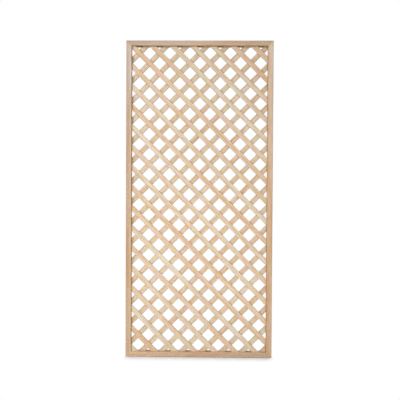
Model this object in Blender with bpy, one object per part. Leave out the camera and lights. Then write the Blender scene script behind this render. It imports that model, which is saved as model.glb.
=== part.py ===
"""Framed diamond lattice panel: a mitred and grooved timber frame round two crossed layers of slats.

Metres, +Z up. The panel stands on its bottom rail with its origin at the middle of the bottom edge.
X runs along the width and Y through the thickness, and the front of the panel faces -Y.
"""

from math import cos, pi, radians, sin, sqrt

import bmesh
import bpy
from mathutils import Matrix, Vector

# Driving dimensions of the frame
PANEL_WIDTH = 0.834
PANEL_HEIGHT = 1.800
WEB_THICKNESS = 0.018  # solid wood between the outer edge and the floor of the groove
GROOVE_DEPTH = 0.012
LIP_THICKNESS = 0.009  # wood in front of and behind the groove
OUTER_ARRIS = 0.003  # radius of the outer long edges
INNER_ARRIS = 0.0015  # radius of the two long edges that face the lattice

# Driving dimensions of the lattice
SLAT_WIDTH = 0.0282
SLAT_THICKNESS = 0.008
SLAT_ARRIS = 0.001  # radius of the slats' long edges
SLAT_ANGLE = radians(45)  # from the horizontal
STEPS_UP_STILE = 15  # even steps between the lowest slat and the one that runs into the upper corner
LOWEST_SLAT_INSET = 0.0304  # from the sheet's lower corner to the lowest slat's centre line
CORNER_SLAT_LEAD = 0.0040  # the corner slat's centre line passes this far above the upper corner

# Driving dimensions of the corner nails
NAIL_LENGTH = 0.050
NAIL_SHANK_RADIUS = 0.0014
NAIL_HEAD_RADIUS = 0.0030
NAIL_HEAD_THICKNESS = 0.0012
NAIL_POINT_LENGTH = 0.0045
NAIL_SINK = 0.0006  # the heads lie this far below the stile's edge

# Clearances
SEAT_GAP = 0.0003  # between faces that rest on each other
SHEET_PLAY = 0.001  # between the slat ends and the floor of the groove

# Fineness of the round forms
ARRIS_STEPS = 4
NAIL_SIDES = 12
SHARP_ANGLE = radians(35)  # edges that turn by more than this stay crisp

# Sizes that follow from the driving dimensions
FRAME_FACE = WEB_THICKNESS + GROOVE_DEPTH
LATTICE_THICKNESS = 2 * SLAT_THICKNESS + SEAT_GAP
GROOVE_WIDTH = LATTICE_THICKNESS + 2 * SEAT_GAP
FRAME_DEPTH = GROOVE_WIDTH + 2 * LIP_THICKNESS
SHEET_WIDTH = PANEL_WIDTH - 2 * (WEB_THICKNESS + SHEET_PLAY)
SHEET_HEIGHT = PANEL_HEIGHT - 2 * (WEB_THICKNESS + SHEET_PLAY)

# Finishes
FRAME_COLOUR = (0.55, 0.39, 0.26, 1.0)
FRONT_SLAT_COLOUR = (0.74, 0.56, 0.38, 1.0)
BACK_SLAT_COLOUR = (0.71, 0.53, 0.36, 1.0)
STEEL_COLOUR = (0.62, 0.62, 0.63, 1.0)
WOOD_ROUGHNESS = 0.72
STEEL_ROUGHNESS = 0.38


def clear_scene():
    for old in list(bpy.data.objects):
        bpy.data.objects.remove(old, do_unlink=True)


def make_material(name, colour, roughness, metallic=0.0):
    material = bpy.data.materials.new(name)
    material.use_nodes = True
    shader = material.node_tree.nodes["Principled BSDF"]
    shader.inputs["Base Color"].default_value = colour
    shader.inputs["Roughness"].default_value = roughness
    shader.inputs["Metallic"].default_value = metallic
    return material


def add_object(name, mesh, parent, location, turn=(0, 0, 0)):
    """Places a mesh, or an empty where the mesh is None, under its parent."""
    obj = bpy.data.objects.new(name, mesh)
    bpy.context.scene.collection.objects.link(obj)
    obj.parent = parent
    obj.location = location
    obj.rotation_euler = turn
    return obj


def finish_mesh(name, bm, material):
    """Turns a closed bmesh into a mesh whose faces point out, smooth on its round parts."""
    bmesh.ops.recalc_face_normals(bm, faces=bm.faces[:])
    mesh = bpy.data.meshes.new(name)
    bm.to_mesh(mesh)
    bm.free()
    mesh.materials.append(material)
    mesh.shade_smooth()
    mesh.set_sharp_from_angle(angle=SHARP_ANGLE)
    return mesh


def rounded_outline(corners):
    """Points round an outline of right-angled corners, each given as (y, z, radius)."""
    points = []
    for index, (y, z, radius) in enumerate(corners):
        corner = Vector((y, z))
        following = corners[(index + 1) % len(corners)]
        if radius == 0:
            points.append(corner)
            continue
        back = (Vector(corners[index - 1][:2]) - corner).normalized()
        ahead = (Vector(following[:2]) - corner).normalized()
        centre = corner + (back + ahead) * radius
        for step in range(ARRIS_STEPS + 1):
            swing = pi / 2 * step / ARRIS_STEPS
            points.append(centre - (ahead * cos(swing) + back * sin(swing)) * radius)
    return points


def extruded_bar(outline, length):
    """A bar along X, centred, whose cross-section is an outline of (y, z) points."""
    bm = bmesh.new()
    end = bm.faces.new([bm.verts.new((-length / 2, y, z)) for y, z in outline])
    grown = bmesh.ops.extrude_face_region(bm, geom=[end])
    moved = [item for item in grown["geom"] if isinstance(item, bmesh.types.BMVert)]
    bmesh.ops.translate(bm, verts=moved, vec=(length, 0, 0))
    return bm


def saw(bm, point, normal):
    """Cuts a bar on a plane, throws away the side that the normal points to, and closes the end."""
    cut = bmesh.ops.bisect_plane(
        bm,
        geom=bm.verts[:] + bm.edges[:] + bm.faces[:],
        plane_co=point,
        plane_no=normal,
        clear_outer=True,
    )
    edges = [item for item in cut["geom_cut"] if isinstance(item, bmesh.types.BMEdge)]
    if edges:
        bmesh.ops.contextual_create(bm, geom=edges)


def frame_outline():
    """Section of a frame member: Y through the panel, Z from the outer edge in towards the lattice."""
    half_depth = FRAME_DEPTH / 2
    half_groove = GROOVE_WIDTH / 2
    return rounded_outline(
        [
            (-half_depth, 0, OUTER_ARRIS),
            (half_depth, 0, OUTER_ARRIS),
            (half_depth, FRAME_FACE, INNER_ARRIS),
            (half_groove, FRAME_FACE, 0),
            (half_groove, WEB_THICKNESS, 0),
            (-half_groove, WEB_THICKNESS, 0),
            (-half_groove, FRAME_FACE, 0),
            (-half_depth, FRAME_FACE, INNER_ARRIS),
        ]
    )


def frame_member_mesh(name, length, material):
    """A grooved bar, mitred at both ends so that its outer edge has the full length."""
    saw_waste = FRAME_FACE
    mitre_shift = SEAT_GAP / 2 * sqrt(2)
    bm = extruded_bar(frame_outline(), length + saw_waste)
    for side in (-1, 1):
        outer_corner = Vector((side * (length / 2 - mitre_shift), 0, 0))
        saw(bm, outer_corner, Vector((side, 0, 1)).normalized())
    return finish_mesh(name, bm, material)


def add_frame(material, parent):
    """Two rails and two stiles, each turned so that its groove faces the lattice."""
    middle = PANEL_HEIGHT / 2
    side = PANEL_WIDTH / 2
    rail = frame_member_mesh("rail", PANEL_WIDTH, material)
    stile = frame_member_mesh("stile", PANEL_HEIGHT, material)
    return {
        "bottom_rail": add_object("bottom_rail", rail, parent, (0, 0, 0)),
        "top_rail": add_object("top_rail", rail, parent, (0, 0, PANEL_HEIGHT), (0, pi, 0)),
        "left_stile": add_object("left_stile", stile, parent, (-side, 0, middle), (0, pi / 2, 0)),
        "right_stile": add_object("right_stile", stile, parent, (side, 0, middle), (0, -pi / 2, 0)),
    }


def slat_outline():
    half_thickness = SLAT_THICKNESS / 2
    half_width = SLAT_WIDTH / 2
    return rounded_outline(
        [
            (-half_thickness, -half_width, SLAT_ARRIS),
            (half_thickness, -half_width, SLAT_ARRIS),
            (half_thickness, half_width, SLAT_ARRIS),
            (-half_thickness, half_width, SLAT_ARRIS),
        ]
    )


def slat_offsets():
    """Even places of the slats of a layer, measured square to them from the sheet's centre."""
    corner = SHEET_WIDTH / 2 * sin(SLAT_ANGLE) + SHEET_HEIGHT / 2 * cos(SLAT_ANGLE)
    stile_span = SHEET_HEIGHT * cos(SLAT_ANGLE)
    pitch = (stile_span + CORNER_SLAT_LEAD - LOWEST_SLAT_INSET) / STEPS_UP_STILE
    lowest = LOWEST_SLAT_INSET - corner
    count = 1 + int((corner - SLAT_WIDTH / 2 - lowest) / pitch)
    return [lowest + index * pitch for index in range(count)]


def centre_line(offset, turned):
    """The middle and the length of a slat's centre line inside the sheet, from the sheet's centre."""
    nearest = turned @ Vector((0, 0, offset))
    along = turned @ Vector((1, 0, 0))
    starts = []
    ends = []
    for axis, half_size in ((0, SHEET_WIDTH / 2), (2, SHEET_HEIGHT / 2)):
        crossings = [(side * half_size - nearest[axis]) / along[axis] for side in (-1, 1)]
        starts.append(min(crossings))
        ends.append(max(crossings))
    start = max(starts)
    end = min(ends)
    return nearest + along * (start + end) / 2, end - start


def add_slat(name, offset, angle, depth, material, parent):
    """A slat trimmed to the sheet's outline, with its origin in its own middle."""
    turned = Matrix.Rotation(angle, 4, "Y")
    middle, length = centre_line(offset, turned)
    saw_waste = 2 * SLAT_WIDTH
    bm = extruded_bar(slat_outline(), length + saw_waste)
    to_local = turned.inverted()
    for side in (-1, 1):
        for edge in (Vector((SHEET_WIDTH / 2, 0, 0)), Vector((0, 0, SHEET_HEIGHT / 2))):
            saw(bm, to_local @ (side * edge - middle), to_local @ (side * edge.normalized()))
    mesh = finish_mesh(name, bm, material)
    return add_object(name, mesh, parent, middle + Vector((0, depth, 0)), (0, angle, 0))


def add_lattice(front_material, back_material, parent):
    """Two layers of slats, numbered from the bottom up: the front ones fall to the right."""
    depth = (SLAT_THICKNESS + SEAT_GAP) / 2
    for number, offset in enumerate(slat_offsets(), start=1):
        add_slat(f"front_slat_{number:02d}", offset, SLAT_ANGLE, -depth, front_material, parent)
        add_slat(f"back_slat_{number:02d}", offset, -SLAT_ANGLE, depth, back_material, parent)


def turned_mesh(name, profile, material):
    """A closed round piece about X, from a profile of (x, radius) points that ends on the axis."""
    bm = bmesh.new()
    verts = [bm.verts.new((x, radius, 0)) for x, radius in profile]
    edges = [bm.edges.new(pair) for pair in zip(verts, verts[1:])]
    bmesh.ops.spin(bm, geom=verts + edges, axis=(1, 0, 0), angle=2 * pi, steps=NAIL_SIDES)
    bmesh.ops.remove_doubles(bm, verts=bm.verts[:], dist=1e-6)
    return finish_mesh(name, bm, material)


def nail_profile():
    """A flat-headed wire nail that lies along +X from its head."""
    return [
        (0, 0),
        (0, NAIL_HEAD_RADIUS),
        (NAIL_HEAD_THICKNESS, NAIL_HEAD_RADIUS),
        (NAIL_HEAD_THICKNESS, NAIL_SHANK_RADIUS),
        (NAIL_LENGTH - NAIL_POINT_LENGTH, NAIL_SHANK_RADIUS),
        (NAIL_LENGTH, 0),
    ]


def nail_hole_profile():
    """The hole of a sunk nail: the nail's form with the seat gap, run out past the stile's edge."""
    head_seat = NAIL_HEAD_THICKNESS + SEAT_GAP
    return [
        (-NAIL_LENGTH, 0),
        (-NAIL_LENGTH, NAIL_HEAD_RADIUS + SEAT_GAP),
        (head_seat, NAIL_HEAD_RADIUS + SEAT_GAP),
        (head_seat, NAIL_SHANK_RADIUS + SEAT_GAP),
        (NAIL_LENGTH + SEAT_GAP, NAIL_SHANK_RADIUS + SEAT_GAP),
        (NAIL_LENGTH + SEAT_GAP, 0),
    ]


def cut_with(member, cutter):
    cut = member.modifiers.new(cutter.name, "BOOLEAN")
    cut.operation = "DIFFERENCE"
    cut.object = cutter


def add_corner_nails(members, steel, parent):
    """A nail in each corner, driven through the stile's edge and along the web of the rail."""
    web_middle = WEB_THICKNESS / 2
    head_place = PANEL_WIDTH / 2 - NAIL_SINK
    nail = turned_mesh("corner_nail", nail_profile(), steel)
    hole = turned_mesh("corner_nail_hole", nail_hole_profile(), steel)
    for level, height in (("bottom", web_middle), ("top", PANEL_HEIGHT - web_middle)):
        for hand, side, turn in (("left", -1, 0), ("right", 1, pi)):
            place = (side * head_place, 0, height)
            add_object(f"nail_{level}_{hand}", nail, parent, place, (0, 0, turn))
            cutter = add_object(f"hole_{level}_{hand}", hole, parent, place, (0, 0, turn))
            cutter.hide_render = True
            cutter.display_type = "WIRE"
            cut_with(members[f"{hand}_stile"], cutter)
            cut_with(members[f"{level}_rail"], cutter)


def build_panel():
    clear_scene()
    frame_wood = make_material("frame_wood", FRAME_COLOUR, WOOD_ROUGHNESS)
    front_wood = make_material("front_slat_wood", FRONT_SLAT_COLOUR, WOOD_ROUGHNESS)
    back_wood = make_material("back_slat_wood", BACK_SLAT_COLOUR, WOOD_ROUGHNESS)
    steel = make_material("nail_steel", STEEL_COLOUR, STEEL_ROUGHNESS, metallic=1.0)
    panel = add_object("lattice_panel", None, None, (0, 0, 0))
    sheet = add_object("lattice_sheet", None, panel, (0, 0, PANEL_HEIGHT / 2))
    members = add_frame(frame_wood, panel)
    add_lattice(front_wood, back_wood, sheet)
    add_corner_nails(members, steel, panel)


build_panel()
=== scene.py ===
from math import cos, pi, radians, sin, sqrt
from types import SimpleNamespace

import bmesh
import bpy
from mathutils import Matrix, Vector


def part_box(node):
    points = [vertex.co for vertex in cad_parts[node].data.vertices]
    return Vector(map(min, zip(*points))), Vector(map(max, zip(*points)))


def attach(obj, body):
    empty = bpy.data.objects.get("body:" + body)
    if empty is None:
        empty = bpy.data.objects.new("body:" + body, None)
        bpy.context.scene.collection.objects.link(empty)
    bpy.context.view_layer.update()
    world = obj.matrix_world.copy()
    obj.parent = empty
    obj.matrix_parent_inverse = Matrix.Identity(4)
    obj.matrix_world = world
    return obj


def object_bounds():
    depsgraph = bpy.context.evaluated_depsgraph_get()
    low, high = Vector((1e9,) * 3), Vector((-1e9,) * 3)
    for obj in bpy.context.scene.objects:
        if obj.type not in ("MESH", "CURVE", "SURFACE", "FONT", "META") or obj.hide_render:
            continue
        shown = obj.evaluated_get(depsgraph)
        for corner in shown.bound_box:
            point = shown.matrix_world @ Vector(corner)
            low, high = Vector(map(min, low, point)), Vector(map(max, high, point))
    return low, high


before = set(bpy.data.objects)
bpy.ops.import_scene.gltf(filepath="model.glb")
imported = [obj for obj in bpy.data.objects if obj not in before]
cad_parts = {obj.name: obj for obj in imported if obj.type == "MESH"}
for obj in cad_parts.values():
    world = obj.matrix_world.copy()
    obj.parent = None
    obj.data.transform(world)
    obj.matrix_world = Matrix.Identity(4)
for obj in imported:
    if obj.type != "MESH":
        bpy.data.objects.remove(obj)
cad_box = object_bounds()


# Where the viewer stands
# The viewer faces the panel squarely from about one and a half panel heights away.
# The eye is just above the panel's middle and a touch right of it, so more shows of the left inner edge.
LENS = 41.13
VIEWER_PLACE = (0.0385, -2.612, 0.9366)
TURN_LEFT = radians(0.740)
TILT_UP = radians(-0.848)
LEAN_LEFT = radians(0.297)

viewer = bpy.data.objects.new("viewer", bpy.data.cameras.new("viewer"))
bpy.context.scene.collection.objects.link(viewer)
viewer.data.lens = LENS
viewer.location = VIEWER_PLACE
viewer.rotation_euler = (radians(90) + TILT_UP, -LEAN_LEFT, TURN_LEFT)
bpy.context.scene.camera = viewer
bpy.context.scene.view_settings.view_transform = "Standard"


# Studio floor
# A seamless sheet of matt white paper runs out of sight behind the panel.
# The viewer sees it burnt out to plain white, but for the soft shadow just before the panel's foot.
FLOOR_SIZE = 60.0
FLOOR_DROP = 0.0004
FLOOR_PAPER = (0.76, 0.79, 0.82, 1)
# The shadow fades out between these distances: before the panel's face, and beside its outer edges.
SHADOW_BEFORE = (-0.020, 0.075)
SHADOW_BESIDE = (-0.028, 0.020)


def add_node(tree, kind, inputs=(), **settings):
    """A node with its settings; inputs maps a socket's name or number to a value or to a link."""
    node = tree.nodes.new(kind)
    for setting, value in settings.items():
        setattr(node, setting, value)
    for socket, value in dict(inputs).items():
        if isinstance(value, bpy.types.NodeSocket):
            tree.links.new(value, node.inputs[socket])
        else:
            node.inputs[socket].default_value = value
    return node


def new_finish(name):
    """An empty material to be filled with nodes, and its tree."""
    finish = bpy.data.materials.new(name)
    finish.use_nodes = True
    finish.node_tree.nodes.clear()
    return finish, finish.node_tree


def calc(tree, operation, *values):
    """One sum on numbers or links."""
    return add_node(tree, "ShaderNodeMath", enumerate(values), operation=operation).outputs[0]


def ease(tree, value, low, high, start=0.0, end=1.0):
    """Goes smoothly from start to end as the value goes from low to high."""
    limits = {"Value": value, "From Min": low, "From Max": high, "To Min": start, "To Max": end}
    return add_node(tree, "ShaderNodeMapRange", limits, interpolation_type="SMOOTHSTEP").outputs[0]


def seen_rays(tree):
    """1 for what the viewer sees, also in metal or through glass, and 0 for the light on the panel."""
    rays = add_node(tree, "ShaderNodeLightPath").outputs
    seen = calc(tree, "MAXIMUM", rays["Is Camera Ray"], rays["Is Glossy Ray"])
    return calc(tree, "MAXIMUM", seen, rays["Is Transmission Ray"])


floor_paper, tree = new_finish("white_paper")
spot = add_node(tree, "ShaderNodeTexCoord").outputs["Object"]
spot_x, spot_y, _ = add_node(tree, "ShaderNodeSeparateXYZ", {0: spot}).outputs
before = calc(tree, "SUBTRACT", cad_box[0][1], spot_y)
beside = calc(tree, "SUBTRACT", calc(tree, "ABSOLUTE", spot_x), cad_box[1][0])
in_front = ease(tree, before, *SHADOW_BEFORE, start=1.0, end=0.0)
within = ease(tree, beside, *SHADOW_BESIDE, start=1.0, end=0.0)
past_shadow = calc(tree, "SUBTRACT", 1.0, calc(tree, "MULTIPLY", in_front, within))
behind = calc(tree, "GREATER_THAN", spot_y, cad_box[1][1])
burnt_out = calc(tree, "MULTIPLY", seen_rays(tree), calc(tree, "MAXIMUM", past_shadow, behind))
matt_white = add_node(tree, "ShaderNodeBsdfDiffuse", {"Color": FLOOR_PAPER}).outputs[0]
plain_white = add_node(tree, "ShaderNodeEmission", {"Strength": 1.0}).outputs[0]
seen_floor = add_node(tree, "ShaderNodeMixShader", {0: burnt_out, 1: matt_white, 2: plain_white}).outputs[0]
add_node(tree, "ShaderNodeOutputMaterial", {"Surface": seen_floor})

half = FLOOR_SIZE / 2
corners = [(-half, -half), (half, -half), (half, half), (-half, half)]
floor_mesh = bpy.data.meshes.new("floor")
floor_mesh.from_pydata([(x, y, -FLOOR_DROP) for x, y in corners], [], [(0, 1, 2, 3)])
floor_mesh.materials.append(floor_paper)
floor = bpy.data.objects.new("floor", floor_mesh)
bpy.context.scene.collection.objects.link(floor)


# Studio lamps
# A large soft lamp stands high to the left of the viewer, a small one low before the panel's foot, and one
# high behind it on the right, for its back. Pale walls fill the shadows and are seen as plain white.
KEY_LAMP = ((-2.15, -2.35, 2.75), 1.4, 57.5)
LOW_LAMP = ((-0.05, -1.65, 0.38), 0.75, 10.3)
BACK_LAMP = ((2.1, 2.2, 2.4), 1.4, 45.0)
AIM = Vector((0, 0, 0.9))
WALL_LIGHT = 0.508


def add_lamp(name, place, width, power):
    """A round soft lamp that faces the panel's middle."""
    lamp = bpy.data.objects.new(name, bpy.data.lights.new(name, "AREA"))
    bpy.context.scene.collection.objects.link(lamp)
    lamp.data.shape = "DISK"
    lamp.data.size = width
    lamp.data.energy = power
    lamp.location = place
    lamp.rotation_euler = (Vector(place) - AIM).to_track_quat("Z", "Y").to_euler()


add_lamp("key_lamp", *KEY_LAMP)
add_lamp("low_lamp", *LOW_LAMP)
add_lamp("back_lamp", *BACK_LAMP)

walls = bpy.data.worlds.new("pale_walls")
bpy.context.scene.world = walls
walls.use_nodes = True
tree = walls.node_tree
tree.nodes.clear()
strengths = {"Value": seen_rays(tree), "To Min": WALL_LIGHT, "To Max": 1.0}
wall_strength = add_node(tree, "ShaderNodeMapRange", strengths).outputs[0]
white = add_node(tree, "ShaderNodeBackground", {"Color": (1, 1, 1, 1), "Strength": wall_strength})
add_node(tree, "ShaderNodeOutputWorld", {"Surface": white.outputs[0]})


# Stiles and rails
# Two stiles and two rails of planed pine with eased edges, and a groove down the inner edge for the slats.
# Mitred and nailed at the corners, each is a board of its own, tinted greyer and darker towards its outer
# edge.
FRAME_SEEDS = {"left_stile": 3, "right_stile": 1, "bottom_rail": 14, "top_rail": 16}
FRAME_APART = 9
FRAME_MOTTLING = 0.8
FRAME_ARRIS_TINT = (0.94, 0.93, 0.92, 1)
FRAME_ARRIS_WIDTH = 0.0015
# The tones along each board, from its left or lower end to the other.
FRAME_TONES = {
    "left_stile": [(220, 203, 172), (210, 184, 149), (212, 195, 174), (217, 211, 202)],
    "right_stile": [(208, 178, 146), (213, 184, 153), (223, 204, 185)],
    "bottom_rail": [(215, 190, 165), (200, 169, 139), (200, 175, 153)],
    "top_rail": [(196, 179, 160), (210, 185, 159), (202, 175, 149)],
}
# For each tinted edge: 1 where it is the left or upper one and -1 where it is the right or lower one,
# how far in the tint starts and where it is full, and the tint. The outer edges go greyer and darker.
# At the inner edges, the top rail's dark tint is painted shade under the rail, and the thin tints on the
# others are painted highlight.
EDGE_TINTS_AND_PAINTED_LIGHT = {
    "left_stile": [
        (1, 0.027, 0.015, (0.86, 0.79, 0.80, 1)),
        (1, 0.008, 0, (0.93, 1.00, 1.09, 1)),
        (-1, 0.001, 0, (1.06, 1.02, 0.88, 1)),
    ],
    "right_stile": [(-1, 0.009, 0, (0.80, 0.90, 1.03, 1)), (1, 0.001, 0, (1.03, 0.96, 0.88, 1))],
    "bottom_rail": [(-1, 0.006, 0, (0.72, 0.80, 0.86, 1)), (1, 0.001, 0, (1.08, 1.12, 1.12, 1))],
    "top_rail": [(1, 0.014, 0, (0.84, 0.90, 1.03, 1)), (-1, 0.005, 0, (0.70, 0.62, 0.54, 1))],
}
# The growth rings curve about a pith this far from the board's middle. The draw that picks a slat's tone
# also turns its pith about it, so many times over that the two look unrelated.
PITH_DISTANCE = 0.055
PITH_TURNS = 7
RING_WIDTH = 0.0034
RING_WOBBLE = 0.011
RING_WOBBLE_SIZE = (0.30, 0.03)
# The dark late wood deepens between these shares of a ring, and ends sharply between these.
LATE_WOOD_RISE = (0.35, 0.88)
LATE_WOOD_END = (0.90, 1.0)
LATE_WOOD_TINT = (0.87, 0.79, 0.70, 1)
# For each mark in the wood: its length and width, the band of noise over which it comes up, and its tint.
STREAK_SIZE = (0.31, 0.024)
STREAK_BAND = (0.38, 0.64)
STREAK_TINT = (0.96, 0.86, 0.785, 1)
PATCH_SIZE = (0.050, 0.010)
PATCH_BAND = (0.42, 0.62)
PATCH_TINT = (0.94, 0.91, 0.87, 1)
FIBRE_SIZE = (0.030, 0.0007)
FIBRE_BAND = (0.40, 0.70)
FLECK_SIZE = (0.010, 0.0005)
FLECK_BAND = (0.66, 0.76)
FIBRE_TINT = (0.91, 0.88, 0.83, 1)
# Faint blotches of pink and green, and of yellow sap, as pine has once it has stood outside.
BLUSH_SIZE = (0.040, 0.018)
BLUSH_TINTS = [(0.980, 1.023, 0.985, 1), (1.022, 0.962, 0.973, 1)]
SAP_SIZE = (0.050, 0.015)
SAP_TINTS = [(1.0, 0.995, 1.06, 1), (1.0, 1.005, 0.935, 1)]
BLOTCH_BAND = (0.36, 0.64)
BARE_ROUGHNESS = 0.60
FIBRE_ROUGHNESS = 0.25
WOOD_SHINE = 0.35
RING_RELIEF = 0.5
GRAIN_RELIEF = 0.35
GRAIN_HEIGHT = 0.0003


def ink(red, green, blue):
    """An eight-bit colour as a shader reads it."""
    return [((part / 255 + 0.055) / 1.055) ** 2.4 for part in (red, green, blue)] + [1.0]


def drawn_noise(tree, place, size, detail=2.0):
    """Noise drawn out along the board, in patches of that length and width."""
    length, width = size
    stretch = (1 / length, 1 / width, 1 / width)
    drawn = add_node(tree, "ShaderNodeVectorMath", {0: place, 1: stretch}, operation="MULTIPLY").outputs[0]
    sockets = {"Vector": drawn, "Scale": 1.0, "Detail": detail}
    return add_node(tree, "ShaderNodeTexNoise", sockets).outputs["Fac"]


def tint(tree, colour, tone, amount):
    """The colour multiplied by a tone, by that amount."""
    sockets = {"Factor": amount, 6: colour, 7: tone}
    return add_node(tree, "ShaderNodeMix", sockets, data_type="RGBA", blend_type="MULTIPLY").outputs[2]


def blend(tree, first, second, amount):
    """A colour between the first and the second."""
    sockets = {"Factor": amount, 6: first, 7: second}
    return add_node(tree, "ShaderNodeMix", sockets, data_type="RGBA").outputs[2]


def tone_ramp(tree, value, tones):
    """A colour between the tones, as the value goes from 0 to 1."""
    ramp = add_node(tree, "ShaderNodeValToRGB", {0: value})
    while len(ramp.color_ramp.elements) < len(tones):
        ramp.color_ramp.elements.new(0.5)
    for count, (mark, tone) in enumerate(zip(ramp.color_ramp.elements, tones)):
        mark.position = count / (len(tones) - 1)
        mark.color = ink(*tone)
    return ramp.outputs[0]


def share(tree, value, low, high):
    """Goes evenly from 0 to 1 as the value goes from low to high."""
    limits = {"Value": value, "From Min": low, "From Max": high}
    return add_node(tree, "ShaderNodeMapRange", limits).outputs[0]


def lay_boards(name, turn, middle, spacing, depth, seed, apart):
    """Like boards laid side by side: where a point lies in its own board, and what each board draws.
    turn is how far they are turned from level, about the panel's depth. middle and spacing say where their
    centre lines lie, and depth where the middle of their thickness does. Each board is cut from a place of
    its own in the wood, and those places lie within a cube that is apart metres wide."""
    finish, tree = new_finish(name)
    place = add_node(tree, "ShaderNodeTexCoord").outputs["Object"]
    laid = add_node(tree, "ShaderNodeMapping", {"Vector": place, "Rotation": (0, turn, 0)}).outputs[0]
    along, through, across = add_node(tree, "ShaderNodeSeparateXYZ", {0: laid}).outputs
    steps = calc(tree, "DIVIDE", calc(tree, "SUBTRACT", across, middle), spacing)
    number = calc(tree, "ROUND", steps)
    aside = calc(tree, "MULTIPLY", calc(tree, "SUBTRACT", steps, number), spacing)
    inward = calc(tree, "SUBTRACT", through, depth)
    own = add_node(tree, "ShaderNodeCombineXYZ", {0: along, 1: inward, 2: aside}).outputs[0]
    draw = {"W": calc(tree, "ADD", number, seed)}
    chance = add_node(tree, "ShaderNodeTexWhiteNoise", draw, noise_dimensions="1D").outputs
    cut_from = {0: chance["Color"], 1: (apart, apart, apart), 2: own}
    wood = add_node(tree, "ShaderNodeVectorMath", cut_from, operation="MULTIPLY_ADD").outputs[0]
    return SimpleNamespace(
        finish=finish, tree=tree, place=place, along=along, inward=inward, aside=aside,
        chance=chance["Value"], wood=wood,
    )


def wear_or_painted_light(boards, tone, amount):
    """A tone laid on the boards: grown, worn or soiled into them, and also painted shade and painted
    highlight.
    """
    boards.colour = tint(boards.tree, boards.colour, tone, amount)


def late_wood(boards):
    """The dark part of each growth ring: 1 where it is darkest, and 0 where the wood is pale."""
    tree = boards.tree
    pith_turn = calc(tree, "MULTIPLY", boards.chance, 2 * pi * PITH_TURNS)
    pith_in = calc(tree, "MULTIPLY", calc(tree, "SINE", pith_turn), PITH_DISTANCE)
    pith_aside = calc(tree, "MULTIPLY", calc(tree, "COSINE", pith_turn), PITH_DISTANCE)
    from_pith = {
        1: calc(tree, "SUBTRACT", boards.inward, pith_in),
        2: calc(tree, "SUBTRACT", boards.aside, pith_aside),
    }
    away = add_node(tree, "ShaderNodeCombineXYZ", from_pith).outputs[0]
    distance = add_node(tree, "ShaderNodeVectorMath", {0: away}, operation="LENGTH").outputs["Value"]
    wobble = calc(tree, "MULTIPLY", drawn_noise(tree, boards.wood, RING_WOBBLE_SIZE), RING_WOBBLE)
    ring = calc(tree, "FRACT", calc(tree, "DIVIDE", calc(tree, "ADD", distance, wobble), RING_WIDTH))
    rise = ease(tree, ring, *LATE_WOOD_RISE)
    fall = ease(tree, ring, *LATE_WOOD_END, start=1.0, end=0.0)
    return calc(tree, "MULTIPLY", rise, fall)


def grow_pine(boards, tones, choice):
    """The colour of the boards: the tone that choice picks, from 0 to 1, with the marks of pine in it."""
    tree = boards.tree
    streak = drawn_noise(tree, boards.wood, STREAK_SIZE, detail=1.0)
    patch = drawn_noise(tree, boards.wood, PATCH_SIZE)
    fleck = drawn_noise(tree, boards.wood, FLECK_SIZE, detail=1.0)
    boards.late = late_wood(boards)
    boards.fibre = drawn_noise(tree, boards.wood, FIBRE_SIZE, detail=3.0)
    boards.colour = tone_ramp(tree, choice, tones)
    wear_or_painted_light(boards, STREAK_TINT, ease(tree, streak, *STREAK_BAND))
    wear_or_painted_light(boards, PATCH_TINT, ease(tree, patch, *PATCH_BAND))
    wear_or_painted_light(boards, LATE_WOOD_TINT, boards.late)
    wear_or_painted_light(boards, FIBRE_TINT, ease(tree, boards.fibre, *FIBRE_BAND))
    wear_or_painted_light(boards, FIBRE_TINT, ease(tree, fleck, *FLECK_BAND))


def mottle(boards, strength):
    """Blotches the boards, by that share."""
    tree = boards.tree
    for tints, size in ((BLUSH_TINTS, BLUSH_SIZE), (SAP_TINTS, SAP_SIZE)):
        blotch = ease(tree, drawn_noise(tree, boards.wood, size), *BLOTCH_BAND)
        wear_or_painted_light(boards, blend(tree, *tints, blotch), strength)


def tint_arrises(boards, width, tone, reach):
    """A tone that comes up over that reach at both long edges of boards of that width."""
    from_middle = calc(boards.tree, "ABSOLUTE", boards.aside)
    wear_or_painted_light(boards, tone, ease(boards.tree, from_middle, width / 2 - reach, width / 2))


def bare_finish(boards):
    """The surface of the boards: matt, unpainted, with its fibres and rings standing up a little."""
    tree = boards.tree
    roughness = calc(tree, "ADD", BARE_ROUGHNESS, calc(tree, "MULTIPLY", boards.fibre, FIBRE_ROUGHNESS))
    relief = calc(tree, "ADD", calc(tree, "MULTIPLY", boards.late, RING_RELIEF), boards.fibre)
    raised = {"Strength": GRAIN_RELIEF, "Distance": GRAIN_HEIGHT, "Height": relief}
    sockets = {
        "Base Color": boards.colour,
        "Roughness": roughness,
        "Normal": add_node(tree, "ShaderNodeBump", raised).outputs[0],
        "Specular IOR Level": WOOD_SHINE,
    }
    wood = add_node(tree, "ShaderNodeBsdfPrincipled", sockets)
    add_node(tree, "ShaderNodeOutputMaterial", {"Surface": wood.outputs[0]})
    return boards.finish


def middle_of(node):
    """The middle of a CAD piece's box."""
    low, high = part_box(node)
    return (low + high) / 2


def give_finish(names, finish):
    """Gives a finish to the CAD pieces of those names."""
    for name in names:
        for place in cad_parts[name].material_slots:
            place.material = finish


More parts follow.
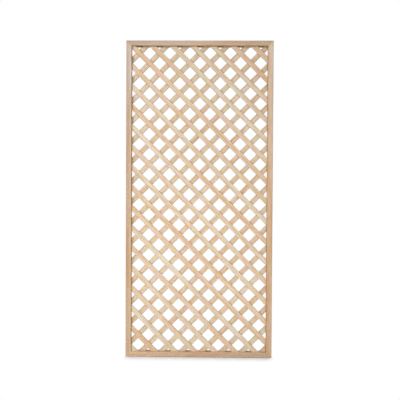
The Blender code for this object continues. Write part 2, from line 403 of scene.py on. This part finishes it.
stile_low, stile_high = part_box("left_stile")
face_width = stile_high.x - stile_low.x
for name, tones in FRAME_TONES.items():
    upright = name.endswith("stile")
    turn = radians(90) if upright else 0
    middle = -middle_of(name).x if upright else middle_of(name).z
    axis = 2 if upright else 0
    # Boards two widths apart, so that the whole of this one, with its mitres, is a single board.
    spacing = face_width * 2
    board = lay_boards(name + "_pine", turn, middle, spacing, 0, FRAME_SEEDS[name], FRAME_APART)
    grow_pine(board, tones, share(board.tree, board.along, cad_box[0][axis], cad_box[1][axis]))
    mottle(board, FRAME_MOTTLING)
    tint_arrises(board, face_width, FRAME_ARRIS_TINT, FRAME_ARRIS_WIDTH)
    # Greyer, darker outer edges, with painted shade and painted highlight at the inner edges.
    for side, start, full, edge_tint in EDGE_TINTS_AND_PAINTED_LIGHT[name]:
        sideways = calc(board.tree, "MULTIPLY", board.aside, side)
        wear_or_painted_light(board, edge_tint, ease(board.tree, sideways, face_width / 2 - start, face_width / 2 - full))
    give_finish([name], bare_finish(board))


# Front slats
# Twenty-two thin pine slats, sawn and lightly sanded, fall to the right in front, each in its own tone.
# They are cut at 45 degrees to fill the groove. Painted shade darkens them where they enter the stiles and
# where they cross.
FRONT_TONES = [(223, 192, 160), (225, 204, 179), (225, 213, 193)]
FRONT_SEED = 3839
FRONT_APART = 8.33
FRONT_ARRIS_TINT = (0.84, 0.93, 1.04, 1)
SLAT_ARRIS_WIDTH = 0.006
SLAT_WIDTH = 0.0282
SLAT_MOTTLING = 1.0
SLAT_SLOPE = radians(45)
DIAGONAL = sqrt(2)
# Painted shade on the slat ends at the mouth of the stiles' grooves, where the frame's lips shade them.
GROOVE_SHADE_TINT = (0.56, 0.53, 0.50, 1)
# The painted shade comes up between these distances from the mouth of the groove.
GROOVE_SHADE_REACH = (0.0055, 0.0015)
# Painted shade on a slat beside each crossing, where the slat laid over it shades it.
CROSSING_SHADE_TINT = (0.865, 0.745, 0.59, 1)
# Beside a crossing the painted shade thins out over this width, and it lies this far from the middle of a
# slat's thickness.
CROSSING_SHADE_WIDTH = 0.004
CROSSING_SHADE_DEPTH = (0.002, 0.0035)


def painted_shade_by_stiles(boards):
    """Painted shade where the slats enter the grooves of the stiles, darkening their ends."""
    tree = boards.tree
    x, _, _ = add_node(tree, "ShaderNodeSeparateXYZ", {0: boards.place}).outputs
    from_middle = calc(tree, "ABSOLUTE", x)
    groove_mouth = cad_box[1][0] - face_width
    start, full = GROOVE_SHADE_REACH
    wear_or_painted_light(boards, GROOVE_SHADE_TINT, ease(tree, from_middle, groove_mouth - start, groove_mouth - full))


def painted_shade_by_crossings(boards, middle, facing):
    """Painted shade along the edges of the slats that cross these, on the side that faces them.
    middle is where one of those lies along these. facing is 1 where they lie behind these, -1 in front."""
    tree = boards.tree
    steps = calc(tree, "DIVIDE", calc(tree, "SUBTRACT", boards.along, middle), slat_pitch)
    from_crossing = calc(tree, "ABSOLUTE", calc(tree, "SUBTRACT", steps, calc(tree, "ROUND", steps)))
    edge = SLAT_WIDTH / 2 / slat_pitch
    clean = edge + CROSSING_SHADE_WIDTH / slat_pitch
    amount = ease(tree, from_crossing, edge, clean, start=1.0, end=0.0)
    near_face = ease(tree, calc(tree, "MULTIPLY", boards.inward, facing), *CROSSING_SHADE_DEPTH)
    wear_or_painted_light(boards, CROSSING_SHADE_TINT, calc(tree, "MULTIPLY", amount, near_face))


# Slats 11 and 12 run from stile to stile, so their middles lie in the middle of the panel's width. The two
# lines are how far the centre lines of both 11th slats pass from the origin, and the pitch is a slat's step.
front_middle = middle_of("front_slat_11")
back_middle = middle_of("back_slat_11")
front_line = front_middle.z / DIAGONAL
back_line = back_middle.z / DIAGONAL
slat_pitch = (middle_of("front_slat_12").z - front_middle.z) / DIAGONAL
slats = lay_boards(
    "front_slat_pine", -SLAT_SLOPE, front_line, slat_pitch, front_middle.y, FRONT_SEED, FRONT_APART
)
grow_pine(slats, FRONT_TONES, slats.chance)
mottle(slats, SLAT_MOTTLING)
tint_arrises(slats, SLAT_WIDTH, FRONT_ARRIS_TINT, SLAT_ARRIS_WIDTH)
# Painted shade by the stiles' grooves and beside each crossing.
painted_shade_by_stiles(slats)
painted_shade_by_crossings(slats, -back_line, 1)
give_finish([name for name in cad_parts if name.startswith("front_slat_")], bare_finish(slats))


# Back slats
# Twenty-two more rise to the right behind, square to the front ones and laid flat against them.
# They are of the same pine, and stapled to the front slats from behind.
BACK_TONES = [(222, 200, 173), (224, 210, 188)]
BACK_SEED = 4146
BACK_APART = 27.2
BACK_ARRIS_TINT = (0.72, 0.81, 0.92, 1)

slats = lay_boards(
    "back_slat_pine", SLAT_SLOPE, back_line, slat_pitch, back_middle.y, BACK_SEED, BACK_APART
)
grow_pine(slats, BACK_TONES, slats.chance)
mottle(slats, SLAT_MOTTLING)
tint_arrises(slats, SLAT_WIDTH, BACK_ARRIS_TINT, SLAT_ARRIS_WIDTH)
# Painted shade by the stiles' grooves and beside each crossing.
painted_shade_by_stiles(slats)
painted_shade_by_crossings(slats, front_line, -1)
give_finish([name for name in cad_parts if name.startswith("back_slat_")], bare_finish(slats))


# Corner nails
# A bright wire nail is driven through each end of a stile into the rail, its head just below the surface.
# The steel is drawn, then tumbled, so it is smooth with fine scratches and a faint brown bloom of rust.
STEEL_TONES = [(150, 148, 144), (182, 181, 178)]
STEEL_ROUGHNESS = 0.30
CLOUD_ROUGHNESS = 0.30
CLOUDS_TO_THE_METRE = 420.0
SCRATCHES_TO_THE_METRE = 4200.0
SCRATCH_RELIEF = 0.2
SCRATCH_DEPTH = 0.00005
RUST_TONE = (146, 108, 78)
RUST_BAND = (0.56, 0.70)
RUST_COVER = 0.6
RUST_DULLING = 0.5
NAIL_SEED = 1.0


def dull_steel(name, seed):
    """Tumbled wire steel with fine scratches and a little rust."""
    finish, tree = new_finish(name)
    place = add_node(tree, "ShaderNodeTexCoord").outputs["Object"]
    shift = {0: place, 1: (seed, seed, seed)}
    moved = add_node(tree, "ShaderNodeVectorMath", shift, operation="ADD").outputs[0]
    clouds = {"Vector": moved, "Scale": CLOUDS_TO_THE_METRE, "Detail": 3.0}
    cloud = add_node(tree, "ShaderNodeTexNoise", clouds).outputs["Fac"]
    scratches = {"Vector": moved, "Scale": SCRATCHES_TO_THE_METRE, "Detail": 1.0}
    scratch = add_node(tree, "ShaderNodeTexNoise", scratches).outputs["Fac"]
    bloom = ease(tree, cloud, *RUST_BAND)
    bright = tone_ramp(tree, cloud, STEEL_TONES)
    scratched = {"Strength": SCRATCH_RELIEF, "Distance": SCRATCH_DEPTH, "Height": scratch}
    sockets = {
        "Base Color": blend(tree, bright, ink(*RUST_TONE), calc(tree, "MULTIPLY", bloom, RUST_COVER)),
        "Metallic": calc(tree, "SUBTRACT", 1.0, calc(tree, "MULTIPLY", bloom, RUST_DULLING)),
        "Roughness": calc(tree, "ADD", STEEL_ROUGHNESS, calc(tree, "MULTIPLY", cloud, CLOUD_ROUGHNESS)),
        "Normal": add_node(tree, "ShaderNodeBump", scratched).outputs[0],
    }
    steel = add_node(tree, "ShaderNodeBsdfPrincipled", sockets)
    add_node(tree, "ShaderNodeOutputMaterial", {"Surface": steel.outputs[0]})
    return finish


nails = [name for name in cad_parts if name.startswith("nail_")]
give_finish(nails, dull_steel("nail_steel_finish", NAIL_SEED))


# Staples
# A wire staple is shot through each crossing from behind, through the back slat and into the front one.
# Its crown lies flat on the back slat, and the chisel points stay inside the front slat.
CROWN_WIDTH = 0.0102
CROWN_PROUD = 0.0004
STAPLE_LEG = 0.0135
STAPLE_LEAN = radians(7)
STAPLE_SHIFT = 0.0025
STAPLE_SEED = 4
STAPLE_STEEL_SEED = 3.0
WIRE_WIDTH = 0.0012
WIRE_THICKNESS = 0.0006
BEND_RADIUS = 0.0009
BEND_STEPS = 3
# The chisel point tapers over this length, to this share of the wire's thickness.
POINT_LENGTH = 0.0015
POINT_SHARE = 0.25
# The wire's section, with its corners eased, as shares of half its thickness and half its width.
WIRE_SECTION = [(1, 0.7), (0.7, 1), (-0.7, 1), (-1, 0.7), (-1, -0.7), (-0.7, -1), (0.7, -1), (1, -0.7)]
# The crossings are found on a square grid of this many steps each way, which reaches past the whole panel.
GRID_STEPS = 32
STAPLE_INPUTS = {
    "Staple": "Object",
    "Steel": "Material",
    "Slat Pitch": "Float",
    "Grid Steps": "Int",
    "Crossing Height": "Float",
    "Crown Depth": "Float",
    "Half Width": "Float",
    "Lowest": "Float",
    "Highest": "Float",
    "Lean": "Float",
    "Shift": "Float",
    "Seed": "Int",
}


def staple_line():
    """The middle of a staple's wire from point to point, with the share of its thickness at each place."""
    half = (CROWN_WIDTH - WIRE_THICKNESS) / 2
    line = [(-half, -STAPLE_LEG, POINT_SHARE), (-half, POINT_LENGTH - STAPLE_LEG, 1.0)]
    for count in range(BEND_STEPS + 1):
        turn = pi / 2 * count / BEND_STEPS
        x = BEND_RADIUS - half - BEND_RADIUS * cos(turn)
        y = BEND_RADIUS * sin(turn) - BEND_RADIUS
        line.append((x, y, 1.0))
    return line + [(-x, y, size) for x, y, size in reversed(line)]


def staple_mesh():
    """One staple about the middle of its crown: crown along X, legs along -Y, flat of the wire across Z."""
    line = staple_line()
    shape = bmesh.new()
    rings = []
    for count, (x, y, size) in enumerate(line):
        before, after = line[max(count - 1, 0)], line[min(count + 1, len(line) - 1)]
        way = Vector((after[0] - before[0], after[1] - before[1], 0)).normalized()
        side = Vector((-way.y, way.x, 0)) * WIRE_THICKNESS / 2
        flat = Vector((0, 0, WIRE_WIDTH / 2))
        middle = Vector((x, y, 0))
        rings.append([shape.verts.new(middle + side * a * size + flat * b) for a, b in WIRE_SECTION])
    for one, other in zip(rings, rings[1:]):
        for count in range(len(one)):
            after = (count + 1) % len(one)
            shape.faces.new((one[count], one[after], other[after], other[count]))
    shape.faces.new(rings[0])
    shape.faces.new(rings[-1])
    bmesh.ops.recalc_face_normals(shape, faces=shape.faces)
    mesh = bpy.data.meshes.new("staple")
    shape.to_mesh(mesh)
    shape.free()
    return mesh


def place_of(tree):
    """The X, Y and Z of each point."""
    place = add_node(tree, "GeometryNodeInputPosition").outputs[0]
    return add_node(tree, "ShaderNodeSeparateXYZ", {0: place}).outputs


def crossings(tree, given):
    """A point at each crossing inside the frame, from a square grid stood on its corner."""
    span = calc(tree, "MULTIPLY", given["Slat Pitch"], given["Grid Steps"])
    count = calc(tree, "ADD", given["Grid Steps"], 1.0)
    sizes = {"Size X": span, "Size Y": span, "Vertices X": count, "Vertices Y": count}
    grid = add_node(tree, "GeometryNodeMeshGrid", sizes).outputs["Mesh"]
    x, y, _ = place_of(tree)
    level = calc(tree, "MULTIPLY", calc(tree, "SUBTRACT", x, y), 1 / DIAGONAL)
    height = calc(tree, "MULTIPLY_ADD", calc(tree, "ADD", x, y), 1 / DIAGONAL, given["Crossing Height"])
    spot = add_node(tree, "ShaderNodeCombineXYZ", {0: level, 1: given["Crown Depth"], 2: height}).outputs[0]
    stood = add_node(tree, "GeometryNodeSetPosition", {"Geometry": grid, "Position": spot}).outputs[0]

    x, _, z = place_of(tree)
    beyond = calc(tree, "GREATER_THAN", calc(tree, "ABSOLUTE", x), given["Half Width"])
    under = calc(tree, "LESS_THAN", z, given["Lowest"])
    over = calc(tree, "GREATER_THAN", z, given["Highest"])
    outside = calc(tree, "ADD", calc(tree, "ADD", beyond, under), over)
    cut = {"Geometry": stood, "Selection": outside}
    return add_node(tree, "GeometryNodeDeleteGeometry", cut, domain="POINT").outputs[0]


def by_chance(tree, reach, seed):
    """A number between -reach and reach for each point."""
    sockets = {2: calc(tree, "MULTIPLY", reach, -1.0), 3: reach, "Seed": seed}
    return add_node(tree, "FunctionNodeRandomValue", sockets, data_type="FLOAT").outputs[1]


def stapling():
    """A tree of geometry nodes that puts a staple at each crossing, each a little askew."""
    tree = bpy.data.node_groups.new("stapled_crossings", "GeometryNodeTree")
    tree.interface.new_socket("Geometry", in_out="OUTPUT", socket_type="NodeSocketGeometry")
    for name, kind in STAPLE_INPUTS.items():
        tree.interface.new_socket(name, in_out="INPUT", socket_type="NodeSocket" + kind)
    given = add_node(tree, "NodeGroupInput").outputs
    lean = by_chance(tree, given["Lean"], given["Seed"])
    sideways = by_chance(tree, given["Shift"], calc(tree, "ADD", given["Seed"], 1))
    upwards = by_chance(tree, given["Shift"], calc(tree, "ADD", given["Seed"], 2))
    turned = add_node(tree, "ShaderNodeCombineXYZ", {1: lean}).outputs[0]
    moved = add_node(tree, "ShaderNodeCombineXYZ", {0: sideways, 2: upwards}).outputs[0]
    aimed = {"Geometry": crossings(tree, given), "Offset": moved}
    points = add_node(tree, "GeometryNodeSetPosition", aimed).outputs[0]
    staple = add_node(tree, "GeometryNodeObjectInfo", {"Object": given["Staple"]}).outputs["Geometry"]
    shot = {"Points": points, "Instance": staple, "Rotation": turned}
    copies = add_node(tree, "GeometryNodeInstanceOnPoints", shot).outputs[0]
    solid = add_node(tree, "GeometryNodeRealizeInstances", {"Geometry": copies}).outputs[0]
    steeled = {"Geometry": solid, "Material": given["Steel"]}
    add_node(tree, "NodeGroupOutput", {0: add_node(tree, "GeometryNodeSetMaterial", steeled).outputs[0]})
    return tree


def grown(name, tree, values):
    """A plain mesh object made by a tree of geometry nodes, from values by input name."""
    seedling = bpy.data.objects.new(name + "_seedling", bpy.data.meshes.new(name + "_seedling"))
    bpy.context.scene.collection.objects.link(seedling)
    growth = seedling.modifiers.new("growth", "NODES")
    growth.node_group = tree
    for socket in tree.interface.items_tree:
        if socket.in_out == "INPUT":
            growth[socket.identifier] = values[socket.name]
    bpy.context.view_layer.update()
    ready = seedling.evaluated_get(bpy.context.evaluated_depsgraph_get())
    mesh = bpy.data.meshes.new_from_object(ready)
    seedling.modifiers.remove(growth)
    bpy.data.objects.remove(seedling)
    mesh.name = name
    piece = bpy.data.objects.new(name, mesh)
    bpy.context.scene.collection.objects.link(piece)
    return piece


one_staple = bpy.data.objects.new("one_staple", staple_mesh())
bpy.context.scene.collection.objects.link(one_staple)
staples = grown("staples", stapling(), {
    "Staple": one_staple,
    "Steel": dull_steel("staple_steel_finish", STAPLE_STEEL_SEED),
    "Slat Pitch": slat_pitch,
    "Grid Steps": GRID_STEPS,
    "Crossing Height": (front_middle.z + back_middle.z) / 2,
    "Crown Depth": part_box("back_slat_11")[1].y + CROWN_PROUD - WIRE_THICKNESS / 2,
    "Half Width": cad_box[1][0] - face_width - CROWN_WIDTH / 2,
    "Lowest": face_width + CROWN_WIDTH / 2,
    "Highest": cad_box[1][2] - face_width - CROWN_WIDTH / 2,
    "Lean": STAPLE_LEAN,
    "Shift": STAPLE_SHIFT,
    "Seed": STAPLE_SEED,
})
bpy.data.objects.remove(one_staple)
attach(staples, "root")
